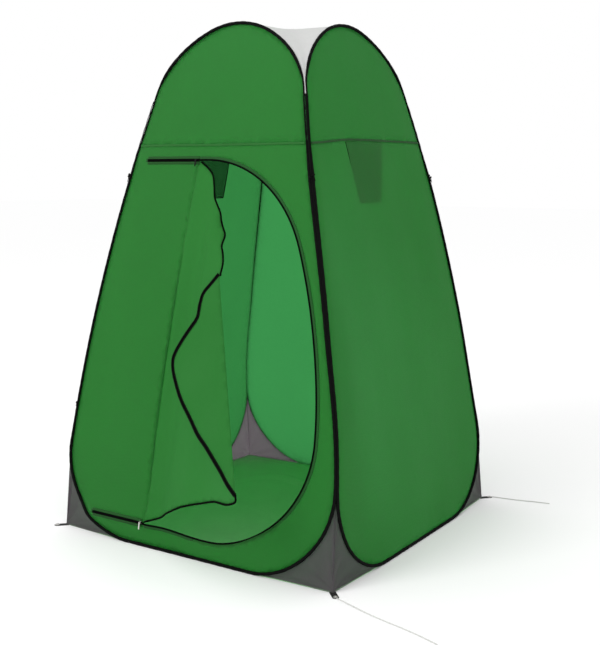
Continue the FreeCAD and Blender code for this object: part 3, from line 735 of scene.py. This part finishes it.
def gusset_half(turns, side, tip, rows=26, columns=22):
    """Cloth drawn from the round corner down to the peg, in folds that run from the peg."""
    rim = corner_rim(turns, side, rows - 1)
    outward = wall_normal(turns, 0, 0.3).normalized()
    verts = []
    for i, spot in enumerate(rim):
        share = i / rows
        fan = math.sin(share * 31.0 + turns) + 0.6 * math.sin(share * 57.0 + 2 * turns + side)
        fan *= math.sin(math.pi * share) ** 0.5
        for j in range(columns + 1):
            t = j / columns
            sag = -0.012 * math.sin(math.pi * t) * math.sin(math.pi * min(1.0, share * 1.1))
            fold = 0.0035 * fan * math.sin(math.pi * t) ** 0.8 * (1.35 - t)
            p = spot.lerp(tip, t) + outward * (sag + fold)
            p.z = 0.0016 if i == 0 else max(p.z, 0.0016)
            verts.append(p)
    return verts, grid_faces(rows + 1, columns + 1)


def gusset(name):
    """Both halves of a corner gusset, joined along the crease that runs up the corner. Where the
    walls aren't joined, they are two pieces."""
    tip = corner_spot(name)
    halves = list(zip(CORNERS[name], (1, -1)))
    joined = name in JOINED
    for group in [halves] if joined else [halves[:1], halves[1:]]:
        verts, faces = [], []
        for turns, side in group:
            part, quads = gusset_half(turns, side, tip)
            if joined and side < 0:
                quads = [tuple(reversed(q)) for q in quads]
            faces += [tuple(k + len(verts) for k in q) for q in quads]
            verts += part
        wall = WALLS[group[0][0]]
        piece = add("gusset_" + (name if joined else f"{name}_{wall}"), verts, faces, LOOK["grey"])
        mesh = bmesh.new()
        mesh.from_mesh(piece.data)
        bmesh.ops.remove_doubles(mesh, verts=mesh.verts, dist=0.0004)
        bmesh.ops.recalc_face_normals(mesh, faces=mesh.faces)
        mesh.to_mesh(piece.data)
        mesh.free()
        thicken(piece, 0.0009)
        if not bend_at_corner(piece, name):
            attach(piece, wall + "_wall")
        label()
    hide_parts("gussets_" + name)


def corner_strip(name):
    """The bound seam between two sleeves."""
    first, second = CORNERS[name]
    low = (HOOP_BOTTOM + HOOP_CORNER * (1 + math.sin(HOOP_SIDE_ANGLE))) * SLOPE
    high = (ARCH_CENTRE + ARCH_RADIUS * math.sin(HOOP_SIDE_ANGLE)) * SLOPE
    count = 110
    verts = []
    for k in range(count + 1):
        z = low + (high - low) * k / count
        u = half_width(z)
        a = on_wall(first, u, z, 0.001)
        b = on_wall(second, -u, z, 0.001)
        pucker = 0.0006 * math.sin(k * 1.7)
        outward = Vector((a.x + b.x, a.y + b.y, 0)).normalized()
        for t in (0.0, 0.25, 0.5, 0.75, 1.0):
            verts.append(a.lerp(b, t) + outward * (0.0015 * math.sin(math.pi * t) + pucker))
    strip = add("corner_binding_" + name, verts, grid_faces(count + 1, 5), LOOK["binding"])
    thicken(strip, 0.0012)
    if not bend_at_corner(strip, name, 0.012):
        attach(strip, "back_wall")
    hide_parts("corner_seam_" + name)


def ties(turns):
    """Short cords knotted round the sleeve, with two loose ends."""
    name = WALLS[turns]
    spots = [(1, 1.344), (-1, 1.352)] + ([(-1, 0.490)] if turns == FRONT else [])  # (side, height)
    reach = SLEEVE_AT_CORNER + 0.0008
    group = None
    for n, (side, z) in enumerate(spots):
        u = side * half_width(z)
        loop = []
        for k in range(17):
            a = 2 * math.pi * k / 16
            loop.append(on_wall(turns, u + reach * math.cos(a), z, SLEEVE_OUT + reach * math.sin(a)))
        knot = on_wall(turns, u, z, SLEEVE_OUT + SLEEVE_AT_CORNER + 0.002)
        wound = []
        for a in np.linspace(0, 2 * math.pi, 14):
            across, out, up = 0.0026 * math.cos(a), 0.001 * math.sin(2 * a), 0.0030 * math.sin(a)
            wound.append(knot + turned(turns, across, -out, up))
        cords = [(f"tie_{name}_{n}", loop, 0.0013), (f"tie_knot_{name}_{n}", wound, 0.0022)]
        for k, (drift, length) in enumerate(((0.003, 0.020), (-0.003, 0.014))):
            end = [knot + turned(turns, drift * t, -LEAN * length * t, 0) - Vector((0, 0, length * t))
                   for t in np.linspace(0, 1, 8)]
            cords.append((f"tie_end_{name}_{n}_{k}", end, 0.0011))
        parts = [tube(part, path, radius, LOOK["cord"], 7) for part, path, radius in cords]
        for part in parts:
            place(part, name + "_wall")
        group = group or parts[0]
    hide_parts("ties_" + name)


# ---- roof and floor ----

def arch_spot(turns, side, share):
    """A spot on the outside of a wall's arch: share 0 at the corner seam, 1 at the very top."""
    a = HOOP_SIDE_ANGLE + (math.pi / 2 - HOOP_SIDE_ANGLE) * share
    reach = ARCH_RADIUS + 0.001
    z = (ARCH_CENTRE + reach * math.sin(a)) * SLOPE
    return on_wall(turns, side * reach * math.cos(a) * bulge(z) + spread(side, z), z, 0.0)


def roof_gore(name, halves, rows=34, columns=26):
    """Roof cloth between two neighbouring arches, slack in the middle."""
    first, second = CORNERS[name]
    low, high = halves
    verts = []
    for i in range(rows + 1):
        a, b = arch_spot(first, 1, i / rows), arch_spot(second, -1, i / rows)
        for j in range(columns + 1):
            t = low + (high - low) * j / columns
            p = a.lerp(b, t)
            span = (a - b).length
            p.z -= 0.05 * span * math.sin(math.pi * t) + 0.0015 * math.sin(9 * t + 5 * i / rows)
            verts.append(p)
    return verts, grid_faces(rows + 1, columns + 1)


def roof():
    """Four gores over the corners and the flat middle between the arch tops."""
    for name in CORNERS:
        if name in JOINED:
            piece = add("roof_gore_" + name, *roof_gore(name, (0, 1)), LOOK["roof"])
            thicken(piece)
            bend_at_corner(piece, name, 0.05)
        else:
            for turns, halves in zip(CORNERS[name], ((0, 0.5), (0.5, 1))):
                shape = roof_gore(name, halves, columns=13)
                piece = thicken(add(f"roof_gore_{name}_{WALLS[turns]}", *shape, LOOK["roof"]))
                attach(piece, WALLS[turns] + "_wall")
    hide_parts("roof_gores")
    tops = [arch_spot(turns, 1, 1.0) for turns in range(4)]
    size = 30
    verts = []
    for i in range(size + 1):
        for j in range(size + 1):
            s, t = i / size, j / size
            p = tops[0].lerp(tops[1], s).lerp(tops[3].lerp(tops[2], s), t)
            edge = math.sin(math.pi * s) * math.sin(math.pi * t)
            rim = max(math.sin(math.pi * s), math.sin(math.pi * t))
            span = (tops[0] - tops[1]).length
            border = 0.05 * span * (math.sin(math.pi * s) * (1 - math.sin(math.pi * t))
                                    + math.sin(math.pi * t) * (1 - math.sin(math.pi * s)))
            p.z -= border + 0.024 * edge + 0.001 * rim * math.sin(14 * s + 9 * t)
            verts.append(p)
    top = thicken(add("roof_middle", verts, grid_faces(size + 1, size + 1), LOOK["roof"]))
    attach(top, "front_wall")
    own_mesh(top)
    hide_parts("roof_top")


def floor_cloth():
    """The floor, drawn out to the pegged corners, with a slack ridge towards the back left."""
    ring = []
    for turns in range(4):
        ring.append(tuple(turned(turns, -HOOP_CORNER_U, -FOOT - 0.001, 0))[:2])
        ring.append(tuple(turned(turns, HOOP_CORNER_U, -FOOT - 0.001, 0))[:2])
        ring.append(tuple(turned(turns, GROUND_CORNER - 0.001, -GROUND_CORNER + 0.001, 0))[:2])
    flat, faces = fill(resample(ring, 0.02, closed=True), 0.024)
    ridge = [(-0.42, 0.16), (-0.349, 0.316), (-0.266, 0.372), (-0.130, 0.352), (0.05, 0.33)]
    line = np.array(spline(ridge, 0.02))
    verts = []
    for x, y in flat:
        near = float(np.min(np.hypot(line[:, 0] - x, line[:, 1] - y)))
        away = 1 - smooth(0.50, 0.60, max(abs(x), abs(y)))
        height = 0.003 + away * (0.011 * math.exp(-(near / 0.022) ** 2)
                                 + 0.0018 * (1 + math.sin(8 * x + 3 * y) * math.sin(7 * y - 2 * x)))
        verts.append((x, y, height))
    # the floor's light colour is painted light for the inside of the tent
    sheet = thicken(add("floor_sheet", verts, faces, LOOK["floor"]), 0.0010)
    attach(sheet, "front_wall")
    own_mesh(sheet)
    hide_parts("floor")


# ---- zip ----

TOOTH_STEP = 0.0017


def teeth(k):
    """Radius of a row of zip teeth, swelling at each tooth."""
    return COIL * (1.0 if k % 2 else 0.78)


def door_zip():
    """Green tape and a black row of teeth round the doorway."""
    tape_line = resample(door_curve(ZIP_TAPE / 2), 0.008)
    path = [on_wall(FRONT, u, z, 0.0012) for u, z in tape_line]
    normals = [wall_normal(FRONT, u, z) for u, z in tape_line]
    tape = ribbon("door_zip_tape", path, normals, ZIP_TAPE, LOOK["tape"], 0.0009)
    edge = resample(door_curve(0.0008), TOOTH_STEP)
    row = tube("door_zip_teeth", [on_wall(FRONT, u, z, 0.0022) for u, z in edge], teeth, LOOK["coil"], 8)
    seam = resample(door_curve(ZIP_TAPE * 0.8), 0.02)
    line = [on_wall(FRONT, u, z, 0.0020) for u, z in seam]
    thread = stitches("door_zip_stitching", [line], LOOK["thread"])
    for piece in (tape, row, thread):
        place(piece, "front_wall")
    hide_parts("zip_doorway")


def closed_zips():
    """The two zipped-up lengths, left of the sliders, each ended by a bar-tack."""
    shown = None
    for name, (height, start, end) in CLOSED_ZIPS.items():
        count = int((end - start) / TOOTH_STEP)
        spots = [front_u(start + (end - start) * k / count, height) for k in range(count + 1)]
        path = [on_wall(FRONT, u, height, 0.0012) for u in spots[::6]]
        normals = [wall_normal(FRONT, u, height) for u in spots[::6]]
        tape = ribbon(f"closed_zip_tape_{name}", path, normals, 0.030, LOOK["zip_band"], 0.0009)
        place(tape, "front_wall")
        for k, shift in enumerate((-0.0020, 0.0020)):
            line = [on_wall(FRONT, u, height + shift, 0.0024) for u in spots]
            row = tube(f"closed_zip_teeth_{name}_{k}", line, teeth, LOOK["coil"], 8)
            place(row, "front_wall")
        shown = shown or tape
    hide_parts("zip_closed")


# ---- flap ----

class Hinge:
    """A joint's line."""

    def __init__(self, name):
        joint = next(j for j in frame["joints"] if j["name"] == name)
        self.spot = Vector(joint["pos_m"])
        self.axis = Vector(joint["axis"]).normalized()


def facing(vector, towards):
    """The vector, or its opposite, whichever points the other one's way."""
    return vector if vector.dot(towards) >= 0 else -vector


SWING = Hinge("door_flap_swing")
TURN = Hinge("flap_corner_turn")
FLAP_UP = -SWING.axis
FLAP_OUT = (Matrix.Rotation(FLAP_SWING, 3, SWING.axis) @ Vector((0, -1, CAD_LEAN))).normalized()
FLAP_RIGHT = facing(FLAP_UP.cross(FLAP_OUT), Vector((1, 0, 0)))
HINGE_REACH = 0.17        # the cloth next to the hinge line that bends as the flap swings
TURN_FROM_SWING = TURN.spot - SWING.spot
TURN_HEIGHT = TURN_FROM_SWING.dot(FLAP_OUT)
CORNER_TURN = math.radians(165.0)
LENS_BACK = facing(Matrix.Rotation(CORNER_TURN, 3, TURN.axis) @ FLAP_OUT.cross(TURN.axis), -FLAP_RIGHT)
LENS_OUT = facing(TURN.axis.cross(LENS_BACK), FLAP_OUT)

# the flap's hem and its loose upper edge, as (right of the hinge line, up along it)
FLAP_HEM = [(0.003, 0.006), (0.095, 0.048), (0.188, 0.092), (0.280, 0.135), (0.389, 0.176),
            (0.473, 0.203), (0.559, 0.216), (0.612, 0.236)]
FLAP_WAVE = [(0.288, 0.935), (0.270, 0.978), (0.244, 1.024), (0.214, 1.065), (0.176, 1.12),
             (0.150, 1.175), (0.132, 1.214), (0.121, 1.246), (0.102, 1.275), (0.058, 1.304),
             (0.010, 1.330)]
# the turned-back corner's edge, as (down along its crease, away from the crease)
LENS_EDGE = [(0.448, 0.0), (0.484, 0.074), (0.523, 0.094), (0.570, 0.106), (0.598, 0.138),
             (0.660, 0.228), (0.690, 0.252), (0.735, 0.254), (0.806, 0.230), (0.889, 0.196),
             (0.961, 0.162), (1.027, 0.112), (1.096, 0.074), (1.145, 0.046), (1.190, 0.012),
             (1.205, 0.0)]


def on_flap(a, b, out=0.0):
    """A spot of the open flap: a right of its hinge, b up along it. Near the hinge it curves out of the
    wall, swung by a share that grows from nothing to the full swing across HINGE_REACH."""
    share = 1.0
    for _ in range(6):
        lag = FLAP_SWING * (1 - share)
        share = smooth(0.0, HINGE_REACH, a * math.cos(lag) - out * math.sin(lag))
    back = Matrix.Rotation(-FLAP_SWING * (1 - share), 3, SWING.axis)
    return SWING.spot + FLAP_UP * b + back @ (FLAP_RIGHT * a + FLAP_OUT * out)


def turn_line(b):
    """How far right of the hinge the turned corner's crease is at b."""
    slant = TURN.axis.dot(FLAP_RIGHT) / TURN.axis.dot(FLAP_UP)
    return TURN_FROM_SWING.dot(FLAP_RIGHT) + (b - TURN_FROM_SWING.dot(FLAP_UP)) * slant


def flap_lift(a, b):
    """How far the flap's cloth stands off its plane: the wall's bulge at the hinge, folds, and
    the far edge curling back above the turned corner."""
    z = DOOR_FOOT + b * SLOPE
    at_hinge = -on_wall(FRONT, front_u(fold_u(z), z), z).y - (CAD_FOOT - CAD_LEAN * z)
    crease = turn_line(b)
    near_turn = smooth(0.0, 0.10, crease - a)
    hinge_share = 1 - smooth(0.0, 0.22, a)
    lift = at_hinge * hinge_share
    folds = 0.006 * math.sin(11 * a - 3.1 * b) + 0.0042 * math.sin(23 * a + 2.5 * b + 1)
    lift += folds * smooth(0.02, 0.16, a) * near_turn
    upper = smooth(1.03, 1.09, b) * (1 - smooth(1.14, 1.21, b))
    past = max(0.0, a - (crease - 0.10)) / 0.10
    shoulder = smooth(0.90, 1.02, b) * (1 - smooth(1.18, 1.28, b))
    lift -= (upper * 0.035 + shoulder * 0.014) * past ** 2
    on_crease = (1 - smooth(0.90, 0.98, b)) * (1 - smooth(0.0, 0.10, crease - a))
    behind = 0.0010 * (1 - smooth(-0.004, 0.004, a))
    return lift * (1 - on_crease) + TURN_HEIGHT * on_crease - behind


def on_flap_cloth(a, b, above=0.0):
    return on_flap(a, b, flap_lift(a, b) + above)


def flap():
    """The hanging flap, from its hinge line to its hem, its crease and its loose upper edge, with
    teeth along the hem, round the corner's tip and along the upper edge."""
    hem, wave = spline(FLAP_HEM, 0.014), spline(FLAP_WAVE, 0.012)
    crease = [(turn_line(b), b) for b in np.linspace(0.25, FLAP_WAVE[0][1], 50)]
    hinge = [(-0.005, b) for b in np.linspace(FLAP_WAVE[-1][1], 0.012, 95)]
    flat, faces = fill(hem + crease + wave[1:-1] + hinge, 0.018)
    # the flap's darker cloth is painted shade
    cloth = thicken(add("flap_cloth", [on_flap_cloth(a, b) for a, b in flat], faces, LOOK["flap"]))
    hang(cloth, "flap")
    tip = (on_lens(LENS_EDGE[-1][0], 0.0) - SWING.spot).dot(FLAP_UP)
    round_tip = [(turn_line(b) + 0.002, b) for b in (FLAP_HEM[-1][1] + 0.012, tip + 0.003)]
    hem_line = spline(FLAP_HEM + round_tip, 0.006)
    rows = ("flap_hem_teeth", hem_line, "flap_teeth"), ("flap_upper_teeth", wave, None)
    for name, edge, node in rows:
        line = [on_flap_cloth(a, b, 0.001) for a, b in resample(edge, TOOTH_STEP)]
        hang(tube(name, line, teeth, LOOK["coil"], 8), node)


def hang(obj, node):
    """Bakes a flap piece's placement into its mesh and hides the CAD node it stands for."""
    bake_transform(obj)
    label(node)


def on_lens(s, d, out=0.0):
    """A spot of the turned-back corner: s along its crease from the top, d away from the crease."""
    return TURN.spot + TURN.axis * s + LENS_BACK * d + LENS_OUT * out


def lens_lift(s, d):
    """Folds of the turned corner, growing away from its crease."""
    away = smooth(0.0, 0.06, d)
    return away * (0.006 * math.sin(9 * s + 14 * d) + 0.004 * math.sin(27 * s - 9 * d) + 0.003)


def on_lens_cloth(s, d, above=0.0):
    return on_lens(s, d, lens_lift(s, d) + above)


def lens():
    """The corner that is turned back over the flap, with the zip's black tape and teeth on its edge."""
    edge = spline(LENS_EDGE, 0.012)
    crease = [(s, 0.0) for s in np.linspace(LENS_EDGE[-1][0], LENS_EDGE[0][0], 60)]
    flat, faces = fill(edge + crease[1:-1], 0.016)
    verts = [on_lens_cloth(s, d) for s, d in flat]
    # the turned corner shares the flap's darker cloth, painted shade
    cloth = thicken(add("flap_corner_cloth", verts, faces, LOOK["flap"]))
    place(cloth, "door_flap_corner", "flap_corner")
    path = [on_lens_cloth(s, d, 0.0012) for s, d in resample(edge, 0.006)]
    tape = ribbon("flap_corner_tape", path, [LENS_OUT] * len(path), 0.015, LOOK["binding"], 0.0009)
    place(tape, "door_flap_corner")
    line = [on_lens_cloth(s, d, 0.0022) for s, d in resample(edge, TOOTH_STEP)]
    row = tube("flap_corner_zip_teeth", line, teeth, LOOK["coil"], 8)
    place(row, "door_flap_corner", "flap_corner_teeth")


# ---- inner pockets ----

POCKET_DEPTH = 0.215


def net_pocket(turns, left, right, taper):
    """A net pocket hung from the cross seam inside a wall, with a bound edge. taper is how much
    each side draws in by its foot."""
    name = WALLS[turns]
    rows, columns = 16, 18
    verts = []
    for i in range(rows + 1):
        down = i / rows
        for j in range(columns + 1):
            across = j / columns
            start = left + taper[0] * down
            u = start + (right - taper[1] * down - start) * across
            z = seam_height(turns, u) - 0.008 - POCKET_DEPTH * down
            belly = 0.017 * math.sin(math.pi * across) ** 0.6
            belly *= math.sin(math.pi * (0.25 + 0.75 * down)) ** 0.7
            folds = 0.0025 * math.sin(across * 17 + down * 3) * down
            verts.append(on_wall(turns, u, z, -0.003 - max(0.0, belly + folds)))
    net = thicken(add("net_pocket_" + name, verts, grid_faces(rows + 1, columns + 1), LOOK["net"]), 0.0007)
    place(net, name + "_wall", "pocket_" + name)
    width = columns + 1
    edges = [[k * width for k in range(rows + 1)], [k * width + columns for k in range(rows + 1)],
             [rows * width + k for k in range(width)], list(range(width))]
    for n, run in enumerate(edges):
        band = tube(f"net_pocket_binding_{name}_{n}", [verts[k] for k in run], 0.0019, LOOK["binding"], 8)
        place(band, name + "_wall")


# ---- cords ----

def guy_cord(node, body, sway):
    """A loose twisted cord on the ground."""
    low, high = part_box(node)
    start = Vector((low.x, high.y if node == "cord_front" else low.y, 0))
    end = Vector((high.x, low.y if node == "cord_front" else high.y, 0))
    across = (end - start).normalized().cross(Vector((0, 0, 1)))
    path = []
    for t in np.linspace(0, 1, 160):
        path.append(start.lerp(end, t) + across * sway * math.sin(math.pi * t) * math.sin(5 * t)
                    + Vector((0, 0, 0.0021)))
    cord = tube("guy_" + node, path, lambda k: 0.0018 * (1 + 0.12 * math.sin(k * 1.3)), LOOK["guy"], 8)
    place(cord, body, node)


# ---- build ----

for turns in range(4):
    wall_panels(turns)
    hoop(turns)
    cross_seam(turns)
    ties(turns)
for name in CORNERS:
    corner_strip(name)
for name in CORNERS:
    gusset(name)
roof()
floor_cloth()
door_zip()
closed_zips()
flap()
lens()
net_pocket(RIGHT, -0.155, 0.083, (0.017, 0.082))
net_pocket(LEFT, -0.157, 0.083, (-0.008, 0.01))
guy_cord("cord_front", "front_wall", 0.006)
guy_cord("cord_right", "right_wall", 0.004)

paint(["peg_tab_" + name for name in WALLS], LOOK["webbing"])
paint(["peg_eyelet_" + name for name in WALLS], LOOK["eyelet"])
paint(["zip_stops"], LOOK["tack"])
paint(["slider_upper", "pull_upper"], LOOK["pull_black"])
paint(["slider_lower", "pull_lower"], LOOK["pull_metal"])


# ---- stage, light and camera ----

def ground():
    s = Shading(bpy.data.materials.new("ground"))
    pale = s.finish(s.node("BsdfDiffuse", {"Color": (0.97, 0.97, 0.97, 1)}))
    size = 40.0
    corners = [(-size, -size, 0), (size, -size, 0), (size, size, 0), (-size, size, 0)]
    add("ground", corners, [(0, 1, 2, 3)], pale)


def sky():
    """White all round: behind the tent, and a touch brighter where it lights."""
    s = Shading(bpy.data.worlds.new("studio"))
    seen = s.node("Background", {"Color": (1, 1, 1, 1), "Strength": 1.0})
    lit = s.node("Background", {"Color": (1, 1, 1, 1), "Strength": 1.02})
    to_camera = s.node("LightPath", {}, "Is Camera Ray")
    bpy.context.scene.world = s.finish(s.mix(to_camera, lit, seen), "ShaderNodeOutputWorld")


def light(name, spot, target, size, power):
    data = bpy.data.lights.new(name, "AREA")
    data.size = size
    data.energy = power
    obj = bpy.data.objects.new(name, data)
    obj.location = spot
    aim = Vector(target) - Vector(spot)
    obj.rotation_euler = aim.to_track_quat("-Z", "Y").to_euler()
    bpy.context.scene.collection.objects.link(obj)


CAMERA_SPOT = (2.26545, -3.36104, 1.35101)
CAMERA_ROUND = math.radians(33.033)   # how far round the tent, from straight in front
CAMERA_DOWN = math.radians(8.099)
CAMERA_ROLL = math.radians(0.209)
CAMERA_LENS = 57.55                   # millimetres, on a sensor 36 wide


def camera():
    data = bpy.data.cameras.new("camera")
    data.lens = CAMERA_LENS
    data.sensor_width = 36.0
    obj = bpy.data.objects.new("camera", data)
    turn = Matrix.Rotation(CAMERA_ROUND, 4, "Z") @ Matrix.Rotation(math.pi / 2 - CAMERA_DOWN, 4, "X")
    turn @= Matrix.Rotation(CAMERA_ROLL, 4, "Z")
    obj.matrix_world = Matrix.Translation(CAMERA_SPOT) @ turn
    bpy.context.scene.collection.objects.link(obj)
    bpy.context.scene.camera = obj


ground()
sky()
light("key", (-1.5, -5.0, 4.4), (0, 0, 0.8), 2.6, 150.0)
camera()
bpy.context.scene.view_settings.view_transform = "Standard"
